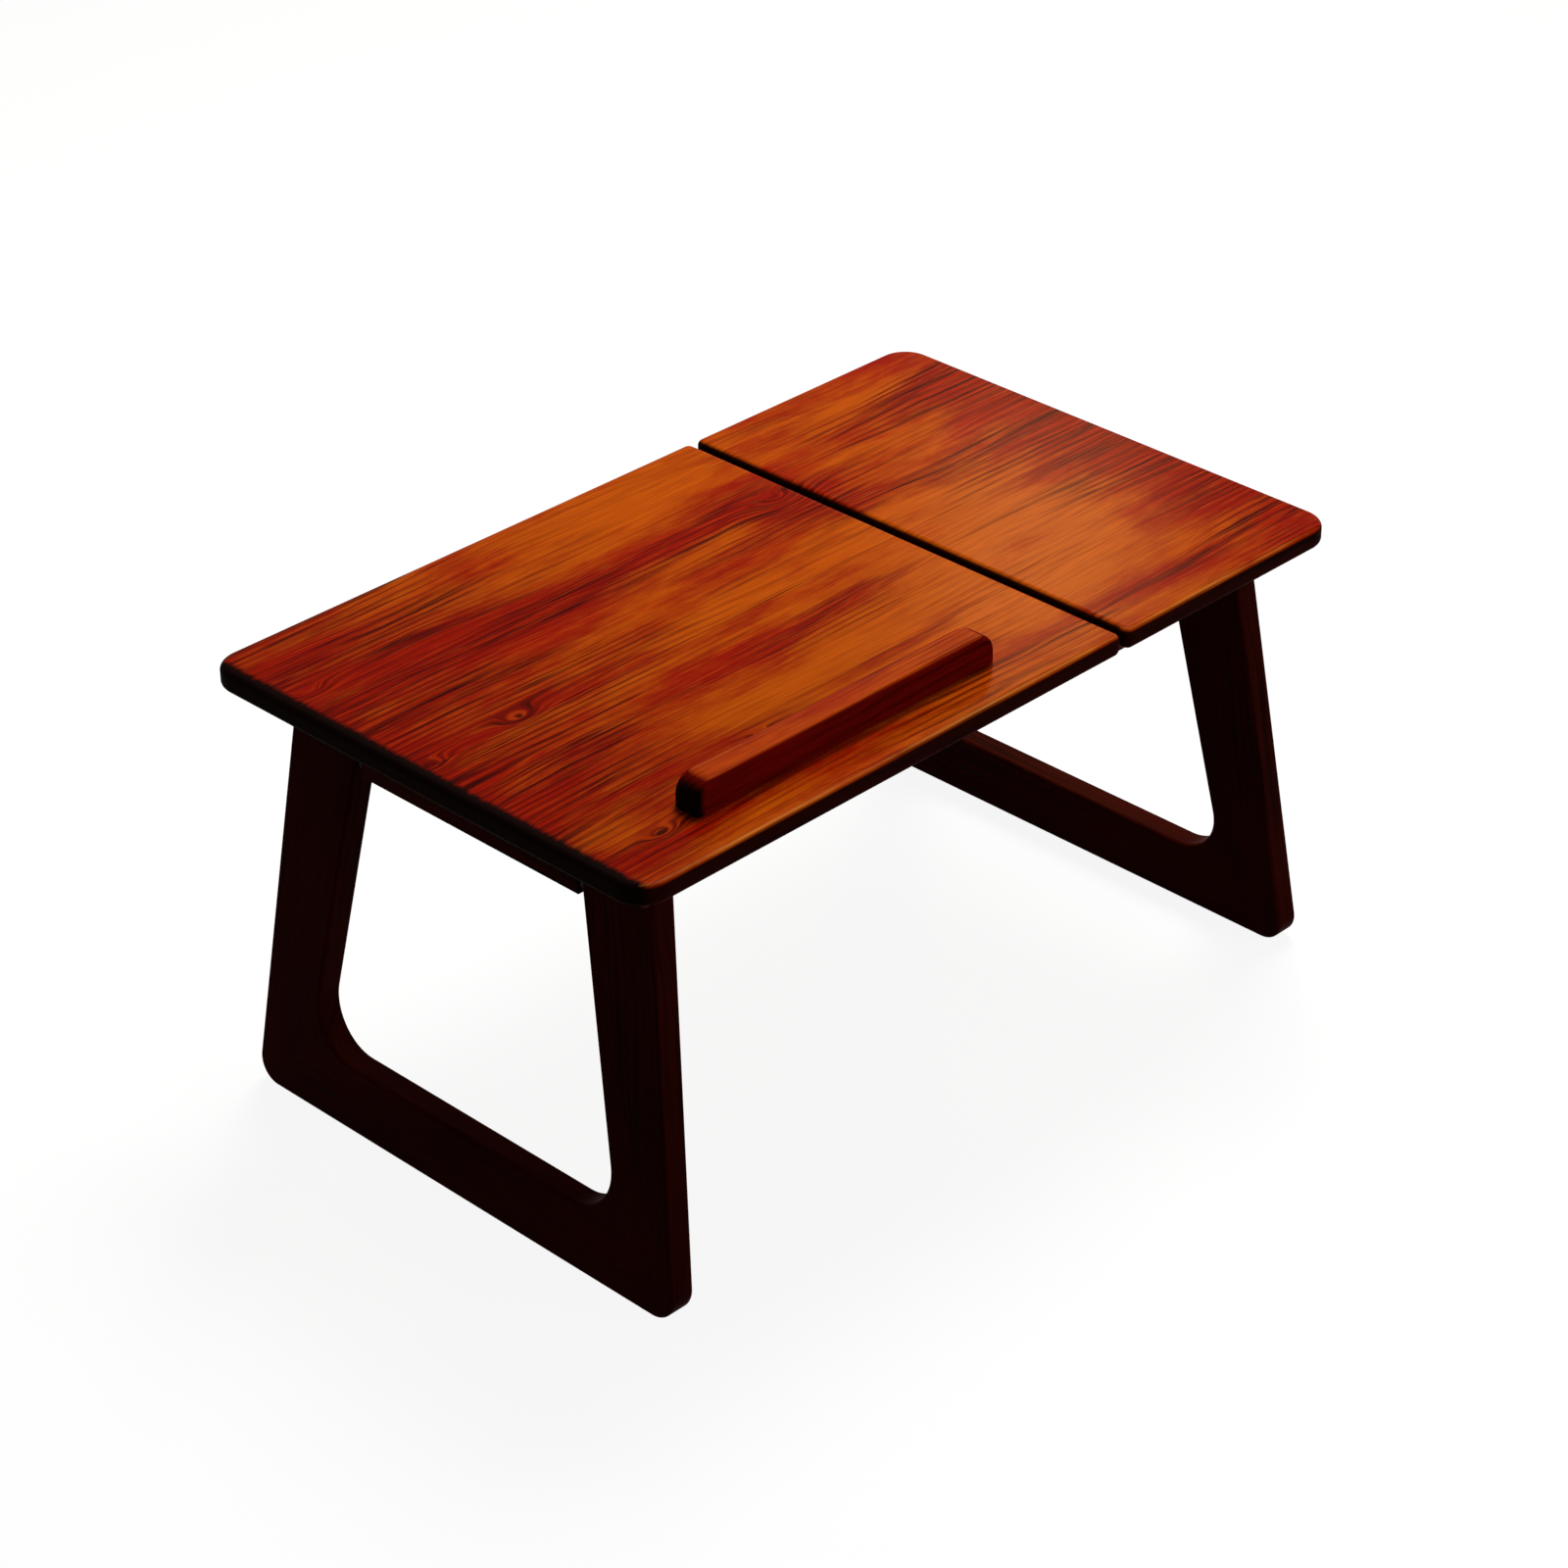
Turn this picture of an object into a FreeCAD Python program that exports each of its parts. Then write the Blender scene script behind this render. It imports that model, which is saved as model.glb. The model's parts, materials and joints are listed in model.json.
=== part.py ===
import FreeCAD, Part
import os
from math import cos, pi, sin

import Sketcher

# A low folding table for a bed or a floor mat. Its top is two boards side by side: a reading board that
# tilts up on hinges at the front, and a fixed side board. Both lie on a flat frame of rails. A leg frame
# folds in under each end. Millimetres, +Z up, the floor at Z = 0, the user on the -Y side.

# Driving dimensions
SIZES = {
    # The top
    "table_length": 600,
    "table_depth": 368,
    "table_height": 303,
    "board_thick": 14,
    "board_edge": 4,
    "board_corner": 20,
    "inner_corner": 5,
    "side_length": 197.5,
    "board_gap": 5,
    # The stop ledge on the tilt board
    "ledge_length": 245,
    "ledge_depth": 22,
    "ledge_height": 21,
    "ledge_inset": 33.5,
    "ledge_end_round": 14,
    "ledge_back_round": 8,
    "ledge_front_round": 3,
    # The frame of rails
    "rail_thick": 16,
    "rail_width": 45,
    "rail_inset": 22,
    "rail_overhang": 24,
    "cross_width": 40,
    "rail_ease": 1.5,
    # The leg frames
    "leg_overhang": 39.6,
    "leg_lean": 5.15,
    "leg_thick": 18,
    "leg_top_reach": 150,
    "leg_top_width": 60,
    "leg_foot_reach": 185.8,
    "leg_foot_width": 42.2,
    "runner_height": 44.9,
    "corner_in": 32,
    "corner_out": 16,
    "leg_ease": 2.5,
    "pad_thick": 1,
    "pad_length": 60,
    "pad_width": 12,
    "pad_end": 60,
    # The pivots of the leg frames
    "pivot_drop": 37,
    "pin_width": 6,
    "pin_in_beam": 24,
    "pin_in_leg": 20,
    "spacer_width": 12,
    "spacer_length": 5.5,
    "beam_thick": 16,
    "beam_drop": 43.5,
    "stop_gap": 0.4,
    "pivot_play": 0.4,
    # The hinges of the tilt board
    "hinge_length": 50,
    "hinge_inset": 70,
    "leaf_thick": 1.5,
    "leaf_width": 11.5,
    "knuckle_width": 6,
    "knuckle_end": 15,
    "hinge_pin": 3,
    "hinge_gap": 0.3,
    # The bail that props the board
    "wire_width": 6,
    "prop_side_gap": 16,
    "prop_stub": 30,
    "stub_end": 2,
    "prop_bend": 12,
    "tilt_limit": 35,
    "notch_first": 14,
    "notch_second": 21,
    "notch_third": 28,
    "tooth_land": 1.8,
    "notch_back": 3.2,
    "notch_deep": 3.5,
    "rack_margin": 9,
    "rack_rear_gap": 37.3,
    "rack_gap": 0.5,
    # The clips of the bail
    "clip_thick": 1.2,
    "clip_length": 12,
    "clip_flange": 10,
    # Fasteners
    "screw_width": 4,
    "screw_head": 8,
    "screw_head_thick": 3,
    "screw_bite": 10,
    "screw_sink": 0.5,
    "screw_margin": 35,
    "small_screw": 3,
    "small_head": 5.5,
    "small_head_thick": 1.2,
    "small_bite": 10,
    "dowel_width": 8,
    "dowel_length": 36,
    "rack_dowel_width": 5,
    "rack_dowel_length": 30,
    "mitre_dowel_length": 28,
    "fit_gap": 0.1,
    "turn_gap": 0.1,
    "knuckle_gap": 0.25,
    "overcut": 1,
}

# Places that follow from the driving dimensions. Widths of the leg frame are half widths, measured from
# the middle plane, and its heights are lengths along the leaning frame, counted from the pivot.
PLACES = {
    "half_length": "Sizes.table_length / 2",
    "half_depth": "Sizes.table_depth / 2",
    "board_under": "Sizes.table_height - Sizes.board_thick",
    "tilt_length": "Sizes.table_length - Sizes.side_length - Sizes.board_gap",
    "tilt_end": "tilt_length - half_length",
    "tilt_mid": "tilt_length / 2 - half_length",
    "side_start": "tilt_end + Sizes.board_gap",
    "ledge_front": "Sizes.ledge_inset - half_depth",
    "ledge_back": "ledge_front + Sizes.ledge_depth",
    "ledge_middle": "ledge_front + Sizes.ledge_depth / 2",
    "rail_under": "board_under - Sizes.rail_thick",
    "rail_mid": "board_under - Sizes.rail_thick / 2",
    "rail_face": "half_depth - Sizes.rail_inset",
    "rail_inner": "rail_face - Sizes.rail_width",
    "rail_line": "rail_face - Sizes.rail_width / 2",
    "rail_end": "half_length - Sizes.rail_overhang",
    "cross_inner": "rail_end - Sizes.cross_width",
    "cross_line": "rail_end - Sizes.cross_width / 2",
    "slot_line": "tilt_end + Sizes.board_gap / 2",
    "slot_left": "slot_line - Sizes.cross_width / 2",
    "pivot_height": "board_under - Sizes.pivot_drop",
    "pivot_line": "half_length - Sizes.leg_overhang + Sizes.pivot_drop * tan(Sizes.leg_lean)"
                  " - Sizes.leg_thick / 2",
    "splay_out": "(Sizes.leg_foot_reach - Sizes.leg_top_reach) / board_under",
    "splay_in": "splay_out + (Sizes.leg_top_width - Sizes.leg_foot_width) / board_under",
    "leg_top": "rail_under - Sizes.stop_gap",
    "runner_top": "Sizes.pad_thick + Sizes.runner_height",
    "top_up": "(leg_top - pivot_height) / cos(Sizes.leg_lean)",
    "runner_up": "(runner_top - pivot_height) / cos(Sizes.leg_lean)",
    "foot_up": "(Sizes.pad_thick - pivot_height) / cos(Sizes.leg_lean)",
    "out_top": "Sizes.leg_top_reach + splay_out * (board_under - leg_top)",
    "out_foot": "Sizes.leg_top_reach + splay_out * (board_under - Sizes.pad_thick)",
    "in_top": "Sizes.leg_top_reach - Sizes.leg_top_width + splay_in * (board_under - leg_top)",
    "in_runner": "Sizes.leg_top_reach - Sizes.leg_top_width + splay_in * (board_under - runner_top)",
    "in_pivot": "Sizes.leg_top_reach - Sizes.leg_top_width + splay_in * Sizes.pivot_drop",
    "mitre_angle": "atan2(runner_up - foot_up; out_foot - in_runner)",
    "mitre_shift": "(Sizes.corner_in + Sizes.corner_out) / 6",
    "mitre_mid": "(out_foot + in_runner) / 2 - mitre_shift * cos(mitre_angle)",
    "mitre_mid_up": "(runner_up + foot_up) / 2 + mitre_shift * sin(mitre_angle)",
    "spacer_seat": "in_pivot + splay_in * (Sizes.spacer_width / 2 + 2 * Sizes.pivot_play)",
    "beam_half": "spacer_seat - Sizes.pivot_play - Sizes.spacer_length",
    "beam_under": "board_under - Sizes.beam_drop",
    "beam_height": "Sizes.beam_drop - Sizes.rail_thick",
    "hinge_spread": "tilt_length / 2 - Sizes.hinge_inset",
    "hinge_offset": "Sizes.knuckle_width / 2 + Sizes.hinge_gap",
    "hinge_height": "board_under - hinge_offset",
    "hinge_line": "-rail_face - hinge_offset",
    "leaf_start": "hinge_offset + Sizes.fit_gap",
    "rack_back": "rail_inner - Sizes.rack_rear_gap",
    "foot_line": "rack_back - Sizes.rack_margin - Sizes.wire_width / 2",
    "bail_line": "(hinge_line + foot_line) / 2",
    "prop_length": "foot_line - bail_line",
    "prop_width": "2 * (tilt_mid + cross_inner - Sizes.prop_side_gap - Sizes.prop_stub)",
    "bail_height": "board_under - Sizes.wire_width / 2 - Sizes.hinge_gap",
    "rack_top": "bail_height - Sizes.wire_width / 2 - Sizes.rack_gap",
    "notch_step": "2 * prop_length * (cos(Sizes.notch_first) - cos(Sizes.notch_second))",
    "notch_front": "notch_step - Sizes.notch_back - Sizes.tooth_land",
    "notch_last": "hinge_line + 2 * prop_length * cos(Sizes.tilt_limit)",
    "rack_front": "notch_last - notch_front - Sizes.rack_margin",
    "rack_middle": "(rack_top + rail_under) / 2",
    "clip_bore": "Sizes.wire_width / 2 + Sizes.turn_gap",
    "clip_wall": "clip_bore + Sizes.clip_thick",
    "clip_reach": "clip_wall + Sizes.clip_flange",
    "clip_offset": "prop_width / 2 + Sizes.prop_stub - Sizes.stub_end - Sizes.clip_length / 2",
    "foot_x": "pivot_line + pivot_height * tan(Sizes.leg_lean)",
}

doc = FreeCAD.newDocument("LowTable")


def fill_sheet(name, cells, lead):
    """A sheet with one named cell to a row."""
    sheet = doc.addObject("Spreadsheet::Sheet", name)
    for row, (alias, content) in enumerate(cells.items(), 1):
        sheet.set(f"A{row}", f"{lead}{content}")
        sheet.setAlias(f"A{row}", alias)
    doc.recompute()
    return sheet


sizes = fill_sheet("Sizes", SIZES, "")
places = fill_sheet("Places", PLACES, "=")

TURNS = {
    "x": FreeCAD.Rotation(FreeCAD.Vector(0, 1, 0), 90),
    "y": FreeCAD.Rotation(FreeCAD.Vector(1, 0, 0), -90),
    "-y": FreeCAD.Rotation(FreeCAD.Vector(1, 0, 0), 90),
    "z": FreeCAD.Rotation(),
}
LEFT_FRAME = "placement(vector(-Places.pivot_line; 0; Places.pivot_height); " \
             "rotation(vector(0; 1; 0); Sizes.leg_lean))"
RIGHT_FRAME = "placement(vector(Places.pivot_line; 0; Places.pivot_height); " \
              "rotation(vector(0; 0; 1); 180) * rotation(vector(0; 1; 0); Sizes.leg_lean))"
RING = 100  # where the corners of a sketch start, before their formulas place them
nodes = []


def size(name):
    """A named value as a plain number."""
    sheet = sizes if name in SIZES else places
    return float(getattr(sheet, name))


def bind(item, **formulas):
    """Tie properties of an object to the sheets. Two underscores stand for the dot in a property path."""
    for name, formula in formulas.items():
        item.setExpression(name.replace("__", "."), formula)
    return item


def put(item, at):
    """Tie the place of an object to three formulas."""
    return bind(item, Placement__Base__x=at[0], Placement__Base__y=at[1], Placement__Base__z=at[2])


def node(item, label):
    """Name a finished sub-part and list it for writing."""
    item.Label = label
    nodes.append(item)
    return item


def block(at, along_x, along_y, along_z):
    """A box from its lowest corner."""
    item = doc.addObject("Part::Box", "Block")
    bind(item, Length=along_x, Width=along_y, Height=along_z)
    return put(item, at)


def rod(axis, at, width, length):
    """A round bar of a given width that starts at a point and runs along an axis."""
    item = doc.addObject("Part::Cylinder", "Rod")
    bind(item, Radius=f"({width}) / 2", Height=length)
    item.Placement.Rotation = TURNS[axis]
    return put(item, at)


def group(items):
    """Several separate solids in one object."""
    item = doc.addObject("Part::Compound", "Group")
    item.Links = items
    return item


def fuse(items):
    """Several overlapping solids as one."""
    item = doc.addObject("Part::MultiFuse", "Fused")
    item.Shapes = items
    return item


def cut(base, tools):
    """A solid less its holes."""
    item = doc.addObject("Part::Cut", "Cut")
    item.Base = base
    item.Tool = tools[0] if len(tools) == 1 else group(tools)
    return item


def outline(body, plane, offset, points):
    """A closed sketch on one of the body's origin planes, with each corner tied to two formulas."""
    sketch = body.newObject("Sketcher::SketchObject", "Outline")
    support = [p for p in body.Origin.OriginFeatures if getattr(p, "Role", "") == plane]
    sketch.AttachmentSupport = [(support[0], "")]
    sketch.MapMode = "FlatFace"
    bind(sketch, AttachmentOffset__Base__z=offset)
    count = len(points)
    turns = [2 * pi * k / count for k in range(count)]
    ring = [FreeCAD.Vector(RING * cos(turn), RING * sin(turn)) for turn in turns]
    for k in range(count):
        sketch.addGeometry(Part.LineSegment(ring[k], ring[(k + 1) % count]), False)
    for k in range(count):
        sketch.addConstraint(Sketcher.Constraint("Coincident", k, 2, (k + 1) % count, 1))
    for k, formulas in enumerate(points):
        for kind, formula, value in zip(("DistanceX", "DistanceY"), formulas, (ring[k].x, ring[k].y)):
            index = sketch.addConstraint(Sketcher.Constraint(kind, -1, 1, k, 1, value))
            sketch.setExpression(f"Constraints[{index}]", formula)
    return sketch


def pad(name, plane, offset, points, length):
    """A body with one pad. The pad runs from the offset along the normal of the plane."""
    body = doc.addObject("PartDesign::Body", name)
    feature = body.newObject("PartDesign::Pad", "Pad")
    feature.Profile = outline(body, plane, offset, points)
    bind(feature, Length=length)
    doc.recompute()
    return body


def rounded(body, wanted, radius):
    """Round the edges of a body that a test picks."""
    tip = body.Tip
    names = [f"Edge{k}" for k, edge in enumerate(tip.Shape.Edges, 1) if wanted(edge)]
    feature = body.newObject("PartDesign::Fillet", "Fillet")
    feature.Base = (tip, names)
    bind(feature, Radius=radius)
    doc.recompute()
    return body


def near(a, b):
    return abs(a - b) < 1e-3


def lies_at(axis, value):
    """A test for edges that lie in a plane square to an axis."""
    def wanted(edge):
        box = edge.BoundBox
        low = getattr(box, axis + "Min")
        high = getattr(box, axis + "Max")
        return near(low, value) and near(high, value)
    return wanted


def stands_at(x, y):
    """A test for upright edges over a point of the floor plan."""
    def wanted(edge):
        return lies_at("X", x)(edge) and lies_at("Y", y)(edge)
    return wanted


def rectangle(left, right, front, back):
    return [(left, front), (right, front), (right, back), (left, back)]


def screw(axis, at, shank, head, head_thick, length):
    """A screw whose head starts at a point and whose shank runs on along the axis."""
    return fuse([rod(axis, at, head, head_thick), rod(axis, at, shank, length)])


def top_board(name, left, right, outer, inner):
    """A board of the top, with large corners at its outer end and small ones at the gap."""
    front = "-Places.half_depth"
    back = "Places.half_depth"
    plan = rectangle(left, right, front, back)
    body = pad(name, "XY_Plane", "Places.board_under", plan, "Sizes.board_thick")
    depth = size("half_depth")
    for x, radius in ((outer, "Sizes.board_corner"), (inner, "Sizes.inner_corner")):
        for y in (-depth, depth):
            rounded(body, stands_at(x, y), radius)
    top = lies_at("Z", size("table_height"))
    under = lies_at("Z", size("board_under"))
    return rounded(body, lambda edge: top(edge) or under(edge), "Sizes.board_edge")


def rail(name, left, right, front, back, low, height):
    """A straight batten with eased long edges."""
    body = pad(name, "XY_Plane", low, rectangle(left, right, front, back), height)
    box = body.Tip.Shape.BoundBox
    long_x = box.XLength > box.YLength
    reach = box.XLength if long_x else box.YLength
    return rounded(body, lambda edge: near(edge.Length, reach), "Sizes.rail_ease")


# Fasteners of the boards: (x, y) of each screw
SCREW_LINES = ["Places.side_start + Sizes.screw_margin", "(Places.side_start + Places.rail_end) / 2",
               "Places.rail_end - Sizes.screw_margin"]
SIDE_SCREWS = [(x, y) for x in SCREW_LINES for y in ("-Places.rail_line", "Places.rail_line")]
LEDGE_SCREWS = [(f"Places.tilt_mid + {k} * Sizes.ledge_length / 3", "Places.ledge_middle")
                for k in (-1, 0, 1)]
HINGES = {
    "left": "Places.tilt_mid - Places.hinge_spread",
    "right": "Places.tilt_mid + Places.hinge_spread",
}
CLIPS = {
    "left": "Places.tilt_mid - Places.clip_offset",
    "right": "Places.tilt_mid + Places.clip_offset",
}
LEAF_SCREWS = [f"{x} + {k} * Sizes.hinge_length / 3" for x in HINGES.values() for k in (-1, 1)]
LEAF_SCREW_REACH = "(Places.leaf_start + Sizes.leaf_width) / 2"
CLIP_SCREWS = [
    (x, f"Places.bail_line + {k} * (Places.clip_wall + Sizes.clip_flange / 2)")
    for x in CLIPS.values() for k in (-1, 1)
]


def blind_holes(spots, under, width, depth):
    """Pilot holes up into a piece from its underside."""
    return [rod("z", (x, y, f"{under} - Sizes.overcut"), f"{width} + 2 * Sizes.fit_gap",
                f"{depth} + 2 * Sizes.overcut") for x, y in spots]


def through_holes(spots, low, height):
    """Clearance holes with a counterbore from below, for screws that pass through a rail or a board."""
    tools = []
    for x, y in spots:
        start = (x, y, f"{low} - Sizes.overcut")
        through = f"{height} + 2 * Sizes.overcut"
        sink = "Sizes.screw_head_thick + Sizes.screw_sink + Sizes.overcut"
        tools.append(rod("z", start, "Sizes.screw_width + 2 * Sizes.fit_gap", through))
        tools.append(rod("z", start, "Sizes.screw_head + 2 * Sizes.fit_gap", sink))
    return tools


def upward_screws(spots, low, height):
    """Screws whose heads lie sunk in the underside of what they hold."""
    return [screw("z", (x, y, f"{low} + Sizes.screw_sink"), "Sizes.screw_width", "Sizes.screw_head",
                  "Sizes.screw_head_thick", f"{height} - Sizes.screw_sink + Sizes.screw_bite")
            for x, y in spots]


# The two boards of the top
leaf_spots = [(x, f"Places.hinge_line - {LEAF_SCREW_REACH}") for x in LEAF_SCREWS]
tilt_blank = top_board("TiltBoard", "-Places.half_length", "Places.tilt_end",
                       -size("half_length"), size("tilt_end"))
tilt_tools = through_holes(LEDGE_SCREWS, "Places.board_under", "Sizes.board_thick")
tilt_tools += blind_holes(leaf_spots + CLIP_SCREWS, "Places.board_under",
                          "Sizes.small_screw", "Sizes.small_bite")
node(cut(tilt_blank, tilt_tools), "tilt_board")
side_blank = top_board("SideBoard", "Places.side_start", "Places.half_length",
                       size("half_length"), size("side_start"))
side_tools = blind_holes(SIDE_SCREWS, "Places.board_under", "Sizes.screw_width", "Sizes.screw_bite")
node(cut(side_blank, side_tools), "side_board")
node(group(upward_screws(SIDE_SCREWS, "Places.rail_under", "Sizes.rail_thick")), "side_board_screws")

# The stop ledge, a bar with rounded ends, and the screws that hold it from below
ledge_section = rectangle("Places.ledge_front", "Places.ledge_back",
                          "Sizes.table_height", "Sizes.table_height + Sizes.ledge_height")
ledge_blank = pad("StopLedge", "YZ_Plane", "Places.tilt_mid - Sizes.ledge_length / 2",
                  ledge_section, "Sizes.ledge_length")
ledge_top = lies_at("Z", size("table_height") + size("ledge_height"))
rounded(ledge_blank, lambda edge: ledge_top(edge) and near(edge.Length, size("ledge_depth")),
        "Sizes.ledge_end_round")
on_table = lies_at("Z", size("table_height"))
for face, radius in (("ledge_front", "Sizes.ledge_front_round"),
                     ("ledge_back", "Sizes.ledge_back_round")):
    on_face = lies_at("Y", size(face))
    rounded(ledge_blank, lambda edge: on_face(edge) and not on_table(edge), radius)
ledge_tools = blind_holes(LEDGE_SCREWS, "Sizes.table_height", "Sizes.screw_width", "Sizes.screw_bite")
node(cut(ledge_blank, ledge_tools), "stop_ledge")
node(group(upward_screws(LEDGE_SCREWS, "Places.board_under", "Sizes.board_thick")), "ledge_screws")

# The frame of rails under the boards. Each cross rail butts between the long rails on dowels.
CROSS_RAILS = {
    "left_end_rail": "-Places.cross_line",
    "slot_rail": "Places.slot_line",
    "right_end_rail": "Places.cross_line",
}
RAIL_JOINTS = [(f"{x} + {k} * Sizes.cross_width / 4", side)
               for x in CROSS_RAILS.values() for k in (-1, 1) for side in (-1, 1)]
RACK_LINES = ["Places.rack_front + Sizes.rack_margin / 2", "Places.rack_back - Sizes.rack_margin / 2"]
RACK_JOINTS = [(x, y) for x in ("-Places.cross_inner", "Places.slot_left") for y in RACK_LINES]
BEAM_SCREWS = [(f"{side} * Places.pivot_line", f"{k} * Places.beam_half / 2")
               for side in (-1, 1) for k in (-1, 0, 1)]


def rail_dowels(slack):
    """Dowels, or their holes with some slack, across the joints of the long rails."""
    length = f"Sizes.dowel_length + 2 * {slack}"
    return [rod("y", (x, f"{side} * Places.rail_inner - ({length}) / 2", "Places.rail_mid"),
                f"Sizes.dowel_width + 2 * {slack}", length) for x, side in RAIL_JOINTS]


def rack_dowels(slack):
    """Dowels, or their holes with some slack, across the ends of the rack."""
    length = f"Sizes.rack_dowel_length + 2 * {slack}"
    return [rod("x", (f"{x} - ({length}) / 2", y, "Places.rack_middle"),
                f"Sizes.rack_dowel_width + 2 * {slack}", length) for x, y in RACK_JOINTS]


node(group(rail_dowels("0")), "rail_dowels")
node(group(rack_dowels("0")), "rack_dowels")
joint_holes = group(rail_dowels("Sizes.fit_gap") + rack_dowels("Sizes.fit_gap"))

leaf_screw_height = f"Places.hinge_height - {LEAF_SCREW_REACH}"
leaf_pilots = [rod("y", (x, "-Places.rail_face - Sizes.overcut", leaf_screw_height),
                   "Sizes.small_screw + 2 * Sizes.fit_gap", "Sizes.small_bite + 2 * Sizes.overcut")
               for x in LEAF_SCREWS]
for label, front, back, more in (
    ("front_rail", "-Places.rail_face", "-Places.rail_inner", leaf_pilots),
    ("rear_rail", "Places.rail_inner", "Places.rail_face", []),
):
    blank = rail("LongRail", "-Places.rail_end", "Places.rail_end", front, back,
                 "Places.rail_under", "Sizes.rail_thick")
    middle = f"({front} + {back}) / 2"
    holes = through_holes([(x, middle) for x in SCREW_LINES], "Places.rail_under", "Sizes.rail_thick")
    node(cut(blank, [joint_holes] + holes + more), label)

beam_pilots = blind_holes(BEAM_SCREWS, "Places.rail_under", "Sizes.screw_width", "Sizes.screw_bite")
for label, x in CROSS_RAILS.items():
    blank = rail("CrossRail", f"{x} - Sizes.cross_width / 2", f"{x} + Sizes.cross_width / 2",
                 "-Places.rail_inner", "Places.rail_inner", "Places.rail_under", "Sizes.rail_thick")
    node(cut(blank, [joint_holes] + beam_pilots), label)

# The notched rack. The foot of the bail stands in one of its notches, each at a set tilt of the board. A
# notch is steep at the back, where the bail pushes, and sloped at the front, where it is drawn out.
NOTCHES = [f"Places.hinge_line + 2 * Places.prop_length * cos(Sizes.{name})"
           for name in ("notch_first", "notch_second", "notch_third", "tilt_limit")]
rack_section = [("Places.rack_front", "Places.rail_under"), ("Places.rack_back", "Places.rail_under"),
                ("Places.rack_back", "Places.rack_top")]
for notch in NOTCHES:
    rack_section += [(f"{notch} + Sizes.notch_back", "Places.rack_top"),
                     (f"{notch} + Sizes.notch_back", "Places.rack_top - Sizes.notch_deep"),
                     (f"{notch} - Places.notch_front", "Places.rack_top")]
rack_section.append(("Places.rack_front", "Places.rack_top"))
rack_blank = pad("Rack", "YZ_Plane", "-Places.cross_inner", rack_section,
                 "Places.cross_inner + Places.slot_left")
node(cut(rack_blank, [joint_holes]), "prop_rack")

# The cross beams that carry the leg frames, with a pin and a spacer at each end
PIN_LENGTH = "Sizes.pin_in_beam + Places.spacer_seat - Places.beam_half + Sizes.pin_in_leg"
pins = []
spacers = []
for label, side in (("left_pivot_beam", -1), ("right_pivot_beam", 1)):
    x = f"{side} * Places.pivot_line"
    blank = rail("Beam", f"{x} - Sizes.beam_thick / 2", f"{x} + Sizes.beam_thick / 2",
                 "-Places.beam_half", "Places.beam_half", "Places.beam_under", "Places.beam_height")
    holes = through_holes(BEAM_SCREWS, "Places.beam_under", "Places.beam_height")
    for axis, way in (("-y", -1), ("y", 1)):
        inner_end = (x, f"{way} * (Places.beam_half - Sizes.pin_in_beam)", "Places.pivot_height")
        beam_face = (x, f"{way} * Places.beam_half", "Places.pivot_height")
        bore = "Sizes.pin_width + 2 * Sizes.fit_gap"
        pins.append(rod(axis, inner_end, "Sizes.pin_width", PIN_LENGTH))
        holes.append(rod(axis, inner_end, bore, PIN_LENGTH))
        ring = rod(axis, beam_face, "Sizes.spacer_width", "Sizes.spacer_length")
        spacers.append(cut(ring, [rod(axis, inner_end, bore, PIN_LENGTH)]))
    node(cut(blank, holes), label)
node(group(pins), "pivot_pins")
node(group(spacers), "pivot_spacers")
node(group(upward_screws(BEAM_SCREWS, "Places.beam_under", "Places.beam_height")), "beam_screws")

# The butt hinges of the tilt board. One leaf lies on the front of the rail, the other under the board, and
# the knuckles share one pin in the corner between them.
BARREL = ("Places.hinge_line", "Places.hinge_height")
MIDDLE_KNUCKLE = "Sizes.hinge_length - 2 * Sizes.knuckle_end - 2 * Sizes.knuckle_gap"


def knuckle(start, length):
    return rod("x", (start, *BARREL), "Sizes.knuckle_width", length)


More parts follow.
